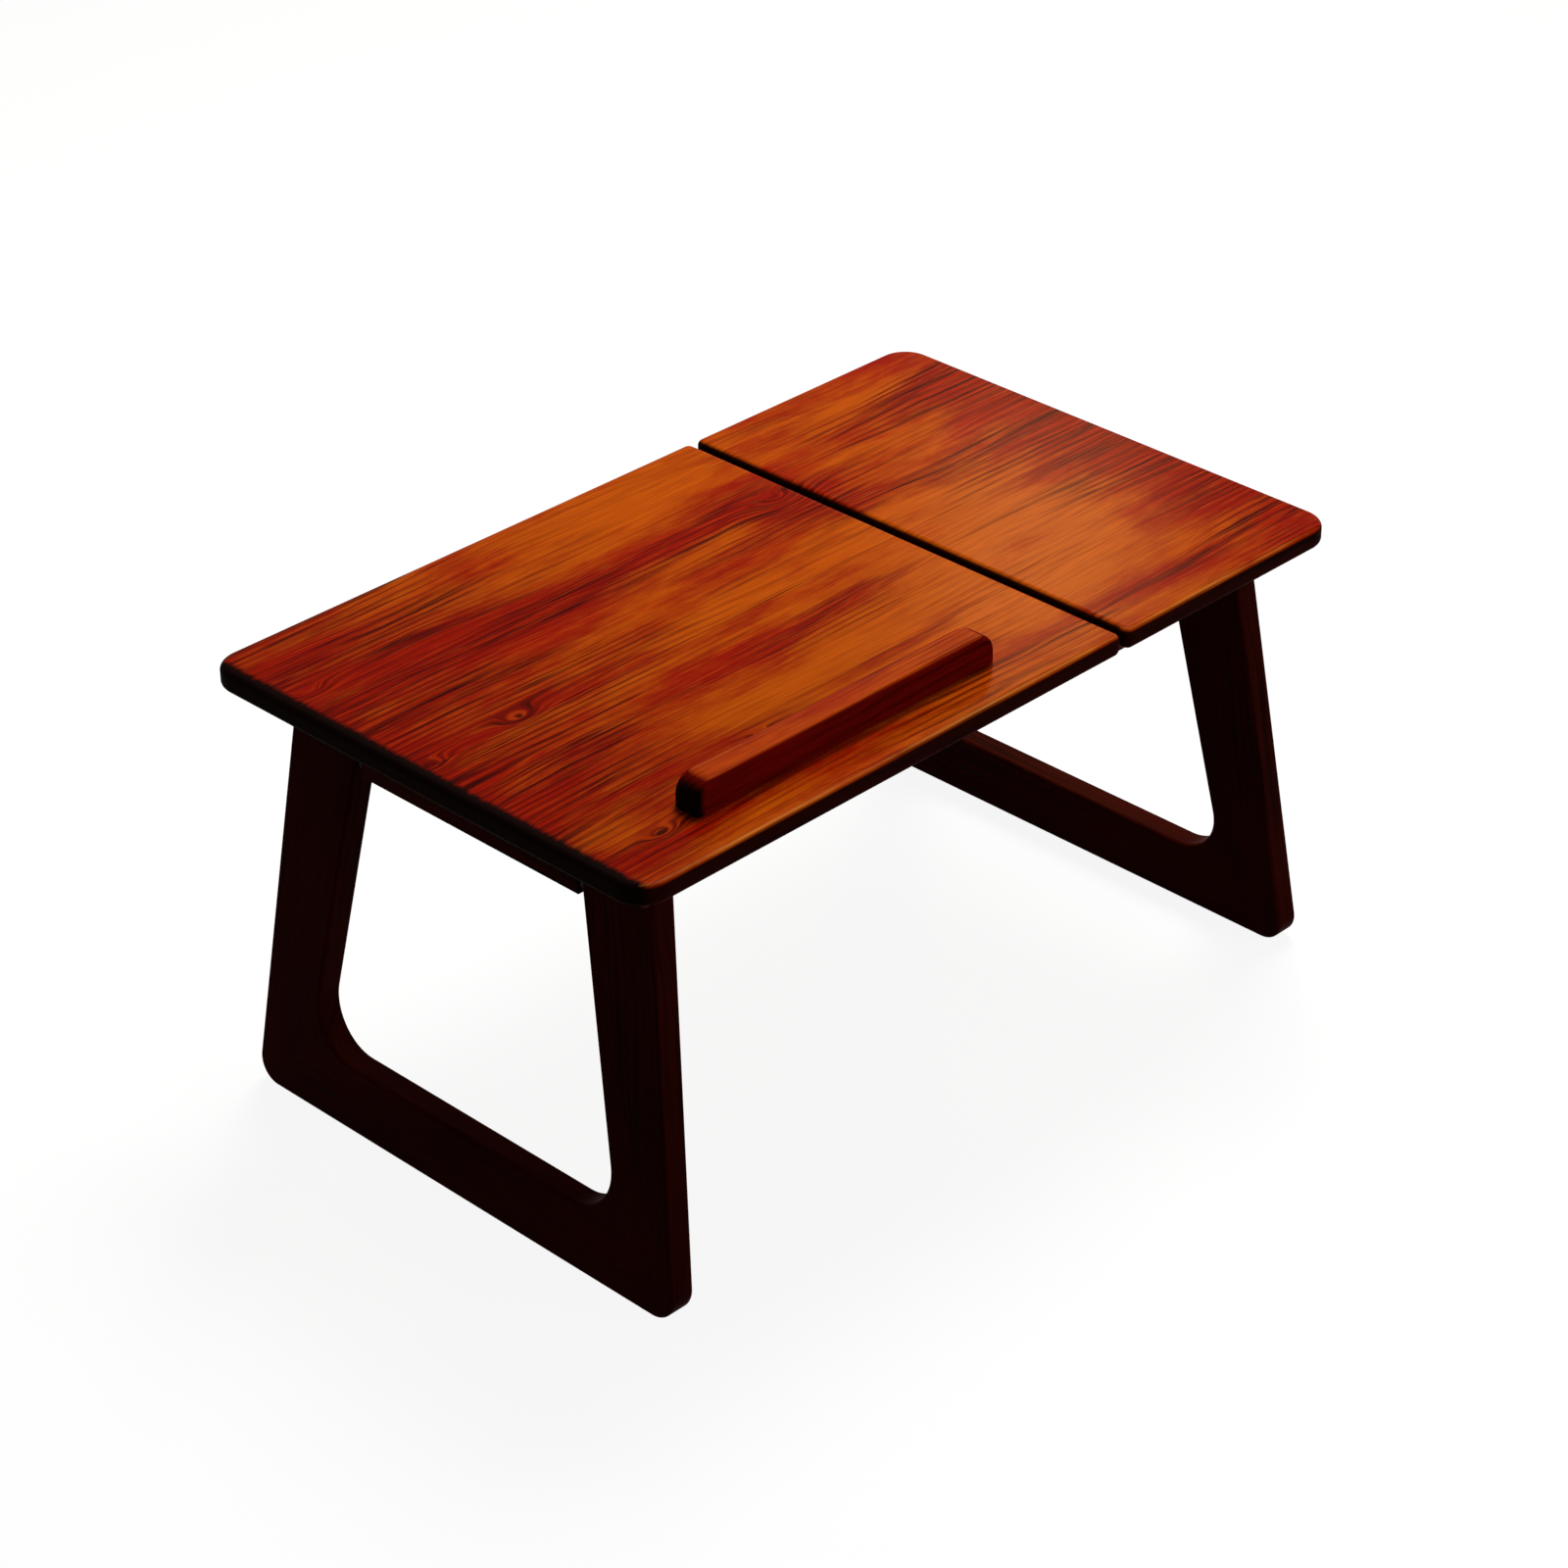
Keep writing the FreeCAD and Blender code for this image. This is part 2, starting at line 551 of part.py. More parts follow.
for label, centre in HINGES.items():
    start = f"{centre} - Sizes.hinge_length / 2"
    bore_start = (f"{start} - Sizes.overcut", *BARREL)
    bore_length = "Sizes.hinge_length + 2 * Sizes.overcut"
    holes = [f"{centre} + {k} * Sizes.hinge_length / 3" for k in (-1, 1)]
    hole_width = "Sizes.small_screw + 2 * Sizes.fit_gap"
    hole_length = "Sizes.leaf_thick + 2 * Sizes.overcut"

    # The leaf on the rail, with a knuckle at each end
    face = "-Places.rail_face - Sizes.leaf_thick"
    solids = [block((start, face, "Places.hinge_height - Sizes.leaf_width"), "Sizes.hinge_length",
                    "Sizes.leaf_thick", "Sizes.leaf_width - Places.leaf_start")]
    for edge in (start, f"{centre} + Sizes.hinge_length / 2 - Sizes.knuckle_end"):
        solids.append(knuckle(edge, "Sizes.knuckle_end"))
        solids.append(block((edge, face, "Places.hinge_height - Places.leaf_start"), "Sizes.knuckle_end",
                            "Sizes.leaf_thick", "Places.leaf_start"))
    tools = [rod("x", bore_start, "Sizes.hinge_pin + 2 * Sizes.fit_gap", bore_length)]
    tools += [rod("y", (x, f"{face} - Sizes.overcut", leaf_screw_height), hole_width, hole_length)
              for x in holes]
    node(cut(fuse(solids), tools), f"{label}_hinge_rail_leaf")

    # The leaf under the board, with one knuckle in the middle
    face = "Places.board_under - Sizes.leaf_thick"
    inset = f"{start} + Sizes.knuckle_end + Sizes.knuckle_gap"
    solids = [
        block((start, "Places.hinge_line - Sizes.leaf_width", face), "Sizes.hinge_length",
              "Sizes.leaf_width - Places.leaf_start", "Sizes.leaf_thick"),
        knuckle(inset, MIDDLE_KNUCKLE),
        block((inset, "Places.hinge_line - Places.leaf_start", face), MIDDLE_KNUCKLE,
              "Places.leaf_start", "Sizes.leaf_thick"),
    ]
    tools = [rod("x", bore_start, "Sizes.hinge_pin + 2 * Sizes.turn_gap", bore_length)]
    tools += [rod("z", (x, f"Places.hinge_line - {LEAF_SCREW_REACH}", f"{face} - Sizes.overcut"),
                  hole_width, hole_length) for x in holes]
    node(cut(fuse(solids), tools), f"{label}_hinge_board_leaf")
    node(rod("x", (start, *BARREL), "Sizes.hinge_pin", "Sizes.hinge_length"), f"{label}_hinge_pin")


def small_screw(axis, at, plate):
    """A screw that holds a thin plate, with its head on the plate."""
    return screw(axis, at, "Sizes.small_screw", "Sizes.small_head", "Sizes.small_head_thick",
                 f"Sizes.small_head_thick + {plate} + Sizes.small_bite")


rail_head = "-Places.rail_face - Sizes.leaf_thick - Sizes.small_head_thick"
node(group([small_screw("y", (x, rail_head, leaf_screw_height), "Sizes.leaf_thick") for x in LEAF_SCREWS]),
     "rail_leaf_screws")
board_head = "Places.board_under - Sizes.leaf_thick - Sizes.small_head_thick"
node(group([small_screw("z", (x, y, board_head), "Sizes.leaf_thick") for x, y in leaf_spots]),
     "board_leaf_screws")


# The bail, one bent wire: a foot, two arms and a stub at the end of each arm that turns in a clip
def elbow(x, y, start_angle):
    """A quarter bend of the wire about a centre."""
    item = doc.addObject("Part::Torus", "Elbow")
    bind(item, Radius1="Sizes.prop_bend", Radius2="Sizes.wire_width / 2", Angle3="90")
    item.Placement.Rotation = FreeCAD.Rotation(FreeCAD.Vector(0, 0, 1), start_angle)
    return put(item, (x, y, "Places.bail_height"))


foot_bend = "Places.foot_line - Sizes.prop_bend"
stub_bend = "Places.bail_line + Sizes.prop_bend"
foot_half = "Places.prop_width / 2 - Sizes.prop_bend"
stub_start = "Places.prop_width / 2 + Sizes.prop_bend"
stub_length = "Sizes.prop_stub - Sizes.prop_bend"
stub_tip = "Places.prop_width / 2 + Sizes.prop_stub"
wire = [
    rod("x", (f"Places.tilt_mid - ({foot_half})", "Places.foot_line", "Places.bail_height"),
        "Sizes.wire_width", f"2 * ({foot_half})"),
    elbow(f"Places.tilt_mid + {foot_half}", foot_bend, 0),
    elbow(f"Places.tilt_mid - ({foot_half})", foot_bend, 90),
    elbow(f"Places.tilt_mid + {stub_start}", stub_bend, 180),
    elbow(f"Places.tilt_mid - ({stub_start})", stub_bend, 270),
    rod("x", (f"Places.tilt_mid + {stub_start}", "Places.bail_line", "Places.bail_height"),
        "Sizes.wire_width", stub_length),
    rod("x", (f"Places.tilt_mid - ({stub_tip})", "Places.bail_line", "Places.bail_height"),
        "Sizes.wire_width", stub_length),
]
for side in (-1, 1):
    arm_start = (f"Places.tilt_mid + {side} * Places.prop_width / 2", stub_bend, "Places.bail_height")
    wire.append(rod("y", arm_start, "Sizes.wire_width", "Places.prop_length - 2 * Sizes.prop_bend"))
node(fuse(wire), "prop_bail")

# The saddle clips that hold the bail under the board
for label, centre in CLIPS.items():
    start = f"{centre} - Sizes.clip_length / 2"
    axis_at = (start, "Places.bail_line", "Places.bail_height")
    bore_at = (f"{start} - Sizes.overcut", "Places.bail_line", "Places.bail_height")
    bore_length = "Sizes.clip_length + 2 * Sizes.overcut"
    rise = "Places.board_under - Places.bail_height"
    solids = [
        block((start, "Places.bail_line - Places.clip_reach", "Places.board_under - Sizes.clip_thick"),
              "Sizes.clip_length", "2 * Places.clip_reach", "Sizes.clip_thick"),
        block((start, "Places.bail_line - Places.clip_wall", "Places.bail_height"),
              "Sizes.clip_length", "2 * Places.clip_wall", rise),
        rod("x", axis_at, "2 * Places.clip_wall", "Sizes.clip_length"),
    ]
    tools = [
        rod("x", bore_at, "2 * Places.clip_bore", bore_length),
        block((bore_at[0], "Places.bail_line - Places.clip_bore", "Places.bail_height"),
              bore_length, "2 * Places.clip_bore", f"{rise} + Sizes.overcut"),
        block((bore_at[0], "Places.bail_line - Places.clip_wall - Sizes.overcut", "Places.board_under"),
              bore_length, "2 * Places.clip_wall + 2 * Sizes.overcut", "Places.clip_wall"),
    ]
    for k in (-1, 1):
        spot = f"Places.bail_line + {k} * (Places.clip_wall + Sizes.clip_flange / 2)"
        tools.append(rod("z", (centre, spot, "Places.board_under - Sizes.clip_thick - Sizes.overcut"),
                         "Sizes.small_screw + 2 * Sizes.fit_gap", "Sizes.clip_thick + 2 * Sizes.overcut"))
    node(cut(fuse(solids), tools), f"{label}_bail_clip")
clip_head = "Places.board_under - Sizes.clip_thick - Sizes.small_head_thick"
node(group([small_screw("z", (x, y, clip_head), "Sizes.clip_thick") for x, y in CLIP_SCREWS]),
     "clip_screws")

# The leg frames. One frame is drawn upright about its pivot, then set at each end with its lean. The pad
# runs level when the frame leans, so the runner's sole lies flat on the floor.
frame_corners = [
    ("-Places.out_top", "Places.top_up"), ("-Places.in_top", "Places.top_up"),
    ("-Places.in_runner", "Places.runner_up"), ("Places.in_runner", "Places.runner_up"),
    ("Places.in_top", "Places.top_up"), ("Places.out_top", "Places.top_up"),
    ("Places.out_foot", "Places.foot_up"), ("-Places.out_foot", "Places.foot_up"),
]
frame_blank = pad("LegFrame", "YZ_Plane", "0", frame_corners, "Sizes.leg_thick")
frame_blank.Tip.SideType = "Symmetric"
frame_blank.Tip.UseCustomVector = True
frame_blank.Tip.AlongSketchNormal = False
bind(frame_blank.Tip, Direction__x="cos(Sizes.leg_lean)", Direction__z="sin(Sizes.leg_lean)")
doc.recompute()
faces = frame_blank.Tip.Shape.BoundBox
for width, radius in (("in_runner", "Sizes.corner_in"), ("out_foot", "Sizes.corner_out")):
    corner_edges = (lies_at("Y", -size(width)), lies_at("Y", size(width)))
    rounded(frame_blank, lambda edge: any(test(edge) for test in corner_edges), radius)
on_faces = (lies_at("X", faces.XMin), lies_at("X", faces.XMax))
rounded(frame_blank, lambda edge: any(test(edge) for test in on_faces) and edge.BoundBox.ZMin < 0,
        "Sizes.leg_ease")

# The top of a leg is round on the side that passes under the rails as the frame folds in.
heel = block(("0", "-Sizes.leg_foot_reach", "0"),
             "Sizes.leg_thick", "2 * Sizes.leg_foot_reach", "2 * Places.top_up")
barrel = rod("y", ("0", "-Sizes.leg_foot_reach - Sizes.overcut", "0"), "2 * Places.top_up",
             "2 * Sizes.leg_foot_reach + 2 * Sizes.overcut")
frame_shape = cut(frame_blank, [cut(heel, [barrel])])

# Each corner is mitred from the inside of the runner to its outer end.
zones = {}
for way in (-1, 1):
    zone_points = [
        (f"{way} * (2 * Places.out_foot - Places.in_runner)", "2 * Places.foot_up - Places.runner_up"),
        (f"{way} * (2 * Places.in_runner - Places.out_foot)", "2 * Places.runner_up - Places.foot_up"),
        ("0", "2 * Places.runner_up - Places.foot_up"),
        ("0", "2 * Places.top_up"),
        (f"{way} * (2 * Places.out_foot - Places.in_runner)", "2 * Places.top_up"),
    ]
    zones[way] = pad("MitreZone", "YZ_Plane", "-Sizes.leg_thick", zone_points, "2 * Sizes.leg_thick")


def mitre_dowels(slack):
    """A dowel, or its hole with some slack, square to each mitre."""
    dowels = []
    for way in (-1, 1):
        length = f"(Sizes.mitre_dowel_length + 2 * {slack})"
        item = doc.addObject("Part::Cylinder", "Dowel")
        bind(item, Radius=f"Sizes.dowel_width / 2 + {slack}", Height=length)
        start_y = f"{way} * (Places.mitre_mid - {length} / 2 * sin(Places.mitre_angle))"
        start_z = f"Places.mitre_mid_up - {length} / 2 * cos(Places.mitre_angle)"
        bind(item, Placement=f"placement(vector(0; {start_y}; {start_z}); "
                             f"rotation(vector(1; 0; 0); {-way} * Places.mitre_angle))")
        dowels.append(item)
    return dowels


def pivot_holes(axis, way):
    """The blind bore of a leg for its pin, and the flat seat cut for the spacer."""
    bore_at = ("0", f"{way} * Places.beam_half", "0")
    bore_length = "Places.spacer_seat - Places.beam_half + Sizes.pin_in_leg + Sizes.overcut"
    return [
        rod(axis, bore_at, "Sizes.pin_width + 2 * Sizes.turn_gap", bore_length),
        rod(axis, bore_at, "Sizes.spacer_width + 2 * Sizes.pivot_play",
            "Places.spacer_seat - Places.beam_half"),
    ]


dowel_holes = group(mitre_dowels("Sizes.fit_gap"))
legs = {}
for axis, way in (("-y", -1), ("y", 1)):
    piece = doc.addObject("Part::Common", "Leg")
    piece.Base = frame_shape
    piece.Tool = zones[way]
    legs[way] = (piece, [dowel_holes] + pivot_holes(axis, way))
runner_piece = cut(frame_shape, [zones[-1], zones[1]])
for side, placement, front_way in (("left", LEFT_FRAME, -1), ("right", RIGHT_FRAME, 1)):
    pieces = {
        f"{side}_front_leg": cut(*legs[front_way]),
        f"{side}_rear_leg": cut(*legs[-front_way]),
        f"{side}_runner": cut(runner_piece, [dowel_holes]),
        f"{side}_frame_dowels": group(mitre_dowels("0")),
    }
    for label, item in pieces.items():
        bind(node(item, label), Placement=placement)
    x = f"{front_way} * Places.foot_x - Sizes.pad_width / 2"
    pads = [block((x, f"{way} * (Places.out_foot - Sizes.pad_end) - Sizes.pad_length / 2", "0"),
                  "Sizes.pad_width", "Sizes.pad_length", "Sizes.pad_thick") for way in (-1, 1)]
    node(group(pads), f"{side}_foot_pads")

doc.recompute()
for item in doc.Objects:
    if "Invalid" in item.State or "Error" in item.State:
        raise RuntimeError(f"{item.Label} did not build: {item.State}")
os.makedirs("parts", exist_ok=True)
for item in nodes:
    shape = item.Shape
    if shape.isNull() or not shape.isValid() or not shape.Solids:
        raise RuntimeError(f"{item.Label} has no sound shape")
    shape.exportStep(f"parts/{item.Label}.step")
    print(f"{item.Label}: {len(shape.Solids)} solids, {shape.Volume / 1000:.2f} cm3")
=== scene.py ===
"""A low folding table of stained and lacquered fir, on a pale floor in soft daylight from the right.

The frame gives every rigid piece. This script gives each one its finish, puts heads with cross recesses
on the screws, and sets the light and the camera. Metres, +Z up, the user on the -Y side.
"""
import json

import bmesh
import bpy
import numpy as np
from mathutils import Matrix


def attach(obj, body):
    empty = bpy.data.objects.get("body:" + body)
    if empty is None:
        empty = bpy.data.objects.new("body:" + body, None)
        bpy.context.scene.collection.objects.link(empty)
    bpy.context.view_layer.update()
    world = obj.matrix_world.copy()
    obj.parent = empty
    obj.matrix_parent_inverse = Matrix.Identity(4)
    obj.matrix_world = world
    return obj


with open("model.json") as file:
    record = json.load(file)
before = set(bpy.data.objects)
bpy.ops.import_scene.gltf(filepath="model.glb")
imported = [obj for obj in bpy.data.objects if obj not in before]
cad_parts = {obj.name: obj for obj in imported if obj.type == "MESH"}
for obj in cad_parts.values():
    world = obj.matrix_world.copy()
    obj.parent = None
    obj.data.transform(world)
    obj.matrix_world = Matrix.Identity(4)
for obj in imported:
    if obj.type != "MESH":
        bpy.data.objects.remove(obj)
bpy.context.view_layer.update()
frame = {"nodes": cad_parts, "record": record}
scene = bpy.context.scene
MM = 0.001
PER_METRE = 1000


def linear(code):
    """sRGB hex to linear RGBA: c / 12.92 below 0.04045, else ((c + 0.055) / 1.055) to the power 2.4."""
    c = np.array([int(code[k:k + 2], 16) for k in (1, 3, 5)]) / 255
    rgb = np.where(c <= 0.04045, c / 12.92, ((c + 0.055) / 1.055) ** 2.4)
    return (*rgb, 1.0)


def add(tree, kind, feeds=(), **settings):
    """Add one shader node of a kind, set its settings, and feed its sockets with constants, other nodes
    or their outputs."""
    item = tree.nodes.new("ShaderNode" + kind)
    for key, value in settings.items():
        setattr(item, key, value)
    for socket, value in dict(feeds).items():
        if isinstance(value, bpy.types.Node):
            value = value.outputs[0]
        if isinstance(value, bpy.types.NodeSocket):
            tree.links.new(value, item.inputs[socket])
        else:
            item.inputs[socket].default_value = value
    return item


def new_material(name):
    """An empty node material and its tree."""
    material = bpy.data.materials.new(name)
    material.use_nodes = True
    material.node_tree.nodes.clear()
    return material, material.node_tree


def per_mm(size):
    """The scale of a pattern whose size along each axis is given in millimetres."""
    return [1 / part for part in size]


def oval(tree, grain, middle, reach):
    """A soft oval on the face: e to the power of minus the squared distance, counted in reaches."""
    place = add(tree, "VectorMath", {0: grain, 1: (*middle, 0)}, operation="SUBTRACT")
    shrink = (*per_mm(reach), 0)
    place = add(tree, "VectorMath", {0: place, 1: shrink}, operation="MULTIPLY")
    square = add(tree, "VectorMath", {0: place, 1: place}, operation="DOT_PRODUCT").outputs["Value"]
    minus = add(tree, "Math", {0: square, 1: -1.0}, operation="MULTIPLY")
    return add(tree, "Math", {0: minus}, operation="EXPONENT")


# The wood's figure in millimetres along the grain, across it and into the board: the slow wander of the
# rings, the stretches where the figure is strong, the fibres, the streaks of heartwood, and the patches
# where the stain took less. The fibres are drawn coarser than the real ones so that they show.
WANDER = (260, 48, 48)
STRETCH = (170, 26, 26)
FIBRE = (45, 1, 1)
STREAK = (80, 2.5, 1)
PATCH = (130, 40, 40)
# How far the rings wander to each side, how far they shift for each millimetre of depth, how far apart the
# figures of two planks lie, and how wide the glue line between them is
SWAY = 13.0
SLANT = 0.6
APART = 900.0
GLUE_LINE = 0.8
# How strongly a dark place and a knot bring out the figure
DARKENING_PULL = 0.26
KNOT_PULL = 0.3
# The darker coat on the edges, part stain and part painted shade on the edges that turn from the light:
# where the front arris begins, how much higher the coat starts away from the front arris, as painted shade,
# how far below the face it begins and is full, how far the fibres fray it at the left end, and over what
# length it fades there
FRONT = -176.0
LEAD = 0.9
COAT_BEGINS = 1.0
COAT_FULL = 2.4
FRAY = 9.0
FADE = 5.0
# The darkest tone, for the grain under the coat and for the painted shade at the left end
BLACK = linear("#0a0201")
# The painted highlight where the rounded front arris catches the light
ARRIS_HIGHLIGHT = linear("#d98a3c")


# Sawn fir, stained and lacquered. Each year's growth shows as a soft pale band that ends in a thin dark
# line, the lines run along the board and part round the knots, and some places are darker: most as stain, a
# few as painted shadow.
def stained_fir(name, turn, tones, plank, pitch, gloss, shine, knots=(), dark=(), edge=None, offset=0.0):
    """Ring number = (distance across the grain + slow wander + a hill at each knot) / pitch.
    turn brings the grain to the local X axis. tones are early wood, pale patches, late wood, streaks and
    edges. plank and pitch are the widths of a plank and of a ring. knots are (middle, reach, rings, share
    of it that is dark). dark places are (middle, reach, weight), where a weight below nothing is a paler
    place. edge is the height of the face, the height of the underside and the place of the left end."""
    material, tree = new_material(name)
    early, pale, late_wood, heart, edges = (linear(tone) for tone in tones)
    place = add(tree, "TexCoord").outputs["Object"]
    grain = add(tree, "Mapping", {"Vector": place, "Rotation": turn, "Scale": [PER_METRE] * 3})
    along, across, depth = add(tree, "SeparateXYZ", {0: grain}).outputs

    # The glued planks: a number for each, and a chance value that sets its rings apart from the next one's
    count = add(tree, "Math", {0: across, 1: 1 / plank, 2: offset / plank}, operation="MULTIPLY_ADD")
    joint = add(tree, "Math", {0: count}, operation="FRACT")
    count = add(tree, "Math", {0: count}, operation="FLOOR")
    chance = add(tree, "TexWhiteNoise", {"W": count}, noise_dimensions="1D").outputs["Value"]
    own = add(tree, "Math", {0: chance, 1: APART}, operation="MULTIPLY")

    # The lie of the rings: they wander slowly and part round the knots
    slow = add(tree, "CombineXYZ", {"X": along, "Y": across, "Z": own})
    slow = add(tree, "Mapping", {"Vector": slow, "Scale": per_mm(WANDER)})
    slow = add(tree, "TexNoise", {"Vector": slow, "Scale": 1.0, "Detail": 3.0, "Roughness": 0.4})
    slow = add(tree, "MapRange", {"Value": slow, "To Min": -SWAY, "To Max": SWAY})
    flow = add(tree, "Math", {0: depth, 1: SLANT, 2: across}, operation="MULTIPLY_ADD")
    flow = add(tree, "Math", {0: flow, 1: slow}, operation="ADD")
    swirl = 0.0
    core = 0.0
    for middle, reach, rings, share in knots:
        hill = oval(tree, grain, middle, reach)
        swirl = add(tree, "Math", {0: swirl, 1: hill}, operation="ADD")
        flow = add(tree, "Math", {0: hill, 1: rings * pitch, 2: flow}, operation="MULTIPLY_ADD")
        if share:
            eye = oval(tree, grain, middle, [part * share for part in reach])
            core = add(tree, "Math", {0: core, 1: eye}, operation="MAXIMUM")
    bent = add(tree, "CombineXYZ", {"X": along, "Y": flow, "Z": own})
    darkening = 0.0
    for middle, reach, weight in dark:
        spot = oval(tree, grain, middle, reach)
        darkening = add(tree, "Math", {0: spot, 1: weight, 2: darkening}, operation="MULTIPLY_ADD")

    # Stretches where the figure is strong
    strong = add(tree, "Mapping", {"Vector": bent, "Scale": per_mm(STRETCH)})
    strong = add(tree, "TexNoise", {"Vector": strong, "Scale": 1.0, "Detail": 3.0})
    strong = add(tree, "Math", {0: darkening, 1: DARKENING_PULL, 2: strong}, operation="MULTIPLY_ADD")
    strong = add(tree, "Math", {0: swirl, 1: KNOT_PULL, 2: strong}, operation="MULTIPLY_ADD")
    strong = add(tree, "MapRange", {"Value": strong, "From Min": 0.4, "From Max": 0.76, "To Min": 0.12},
                 interpolation_type="SMOOTHSTEP")
    # The rings: each darkens slowly across its width, then stops
    ring = add(tree, "Math", {0: flow, 1: 1 / pitch, 2: own}, operation="MULTIPLY_ADD")
    ring = add(tree, "Math", {0: ring}, operation="FRACT")
    ring = add(tree, "FloatCurve", {"Value": ring})
    points = ring.mapping.curves[0].points
    points[0].location = (0.0, 0.1)
    points[1].location = (1.0, 0.1)
    points.new(0.5, 0.15)
    points.new(0.86, 0.85)
    ring.mapping.update()
    lines = add(tree, "Math", {0: ring, 1: strong}, operation="MULTIPLY")
    # Dark fibres and pale flecks between them
    fine = add(tree, "Mapping", {"Vector": bent, "Scale": per_mm(FIBRE)})
    fine = add(tree, "TexNoise", {"Vector": fine, "Scale": 1.0, "Detail": 3.0, "Roughness": 0.6})
    fibre = add(tree, "MapRange", {"Value": fine, "From Min": 0.42, "From Max": 0.75, "To Max": 0.6})
    fleck = add(tree, "MapRange", {"Value": fine, "From Min": 0.46, "From Max": 0.25, "To Max": 0.4})
    # Streaks of heartwood, in the strong stretches
    streak = add(tree, "Mapping", {"Vector": bent, "Scale": per_mm(STREAK)})
    streak = add(tree, "TexNoise", {"Vector": streak, "Scale": 1.0, "Detail": 3.0, "Roughness": 0.55})
    streak = add(tree, "MapRange", {"Value": streak, "From Min": 0.46, "From Max": 0.72},
                 interpolation_type="SMOOTHSTEP")
    streak = add(tree, "Math", {0: streak, 1: strong}, operation="MULTIPLY")
    # Patches where the stain took less, drawn out along the grain
    patch = add(tree, "Mapping", {"Vector": bent, "Scale": per_mm(PATCH)})
    patch = add(tree, "TexNoise", {"Vector": patch, "Scale": 1.0, "Detail": 7.0, "Roughness": 0.66})
    patch = add(tree, "Math", {0: darkening, 1: -DARKENING_PULL, 2: patch}, operation="MULTIPLY_ADD")
    patch = add(tree, "MapRange", {"Value": patch, "From Min": 0.29, "From Max": 0.61},
                interpolation_type="SMOOTHSTEP")
    # The hearts of the knots, and the glue line between two planks
    knot = add(tree, "MapRange", {"Value": core, "From Min": 0.25, "From Max": 0.75, "To Max": 0.9},
               interpolation_type="SMOOTHSTEP")
    seam = add(tree, "Math", {0: joint, 1: GLUE_LINE / plank}, operation="LESS_THAN")
    seam = add(tree, "Math", {0: seam, 1: 0.4}, operation="MULTIPLY")
    layers = [(patch, pale), (lines, late_wood), (fibre, late_wood), (fleck, pale), (streak, heart),
              (knot, heart), (seam, heart)]

    coat_and_shade = 0.0
    if edge is not None:
        # The rounded edges and the underside took a second, darker coat, which is also painted shade on the
        # edges that turn from the light
        top, bottom, left = edge
        front = add(tree, "Math", {0: across, 1: FRONT}, operation="LESS_THAN")
        drop = add(tree, "Math", {0: top + LEAD, 1: depth}, operation="SUBTRACT")
        drop = add(tree, "Math", {0: front, 1: -LEAD, 2: drop}, operation="MULTIPLY_ADD")
        coat_and_shade = add(tree, "MapRange", {"Value": drop, "From Min": COAT_BEGINS, "From Max": COAT_FULL},
                   interpolation_type="SMOOTHSTEP")
        # At the left end it laps over onto the face and runs out along the fibres, as painted shade where
        # the rounded end turns from the light
        left_end_shade = add(tree, "Math", {0: fine, 1: FRAY, 2: along}, operation="MULTIPLY_ADD")
        left_end_shade = add(tree, "MapRange", {"Value": left_end_shade, "From Min": left, "From Max": left - FADE},
                  interpolation_type="SMOOTHSTEP")
        coat_and_shade = add(tree, "Math", {0: coat_and_shade, 1: left_end_shade}, operation="MAXIMUM")
        # The grain shows through it, it is thinner underneath, and it is darkest at the left end, where it
        # is painted shade
        under = add(tree, "Math", {0: depth, 1: bottom + 0.4}, operation="LESS_THAN")
        under = add(tree, "Math", {0: under, 1: 0.5}, operation="MULTIPLY")
        shade = add(tree, "Mix", {0: under, 6: edges, 7: late_wood}, data_type="RGBA").outputs[2]
        for figure in (lines, fibre, left_end_shade):
            shade = add(tree, "Mix", {0: figure, 6: shade, 7: BLACK}, data_type="RGBA").outputs[2]
        # A painted highlight along the front arris, where the rounded edge catches the light, broken up
        # here and there
        painted_highlight = add(tree, "Math", {0: drop, 1: 0.5, 2: 0.35}, operation="COMPARE")
        for share in (patch, front, 0.5):
            painted_highlight = add(tree, "Math", {0: painted_highlight, 1: share}, operation="MULTIPLY")
        layers += [(coat_and_shade, shade), (painted_highlight, ARRIS_HIGHLIGHT)]

    colour = early
    for share, tone in layers:
        colour = add(tree, "Mix", {0: share, 6: colour, 7: tone}, data_type="RGBA").outputs[2]
    rough = add(tree, "MapRange", {"Value": fine, "To Min": gloss - 0.06, "To Max": gloss + 0.06})
    rough = add(tree, "Math", {0: coat_and_shade, 1: 0.4, 2: rough}, operation="MULTIPLY_ADD")
    relief = add(tree, "Math", {0: lines, 1: -0.6, 2: fine}, operation="MULTIPLY_ADD")
    relief = add(tree, "Bump", {"Height": relief, "Strength": 0.12, "Distance": 0.3 * MM})
    shader = add(tree, "BsdfPrincipled", {"Base Color": colour, "Roughness": rough, "Normal": relief,
                                          "Specular IOR Level": shine})
    add(tree, "OutputMaterial", {"Surface": shader})
    return material


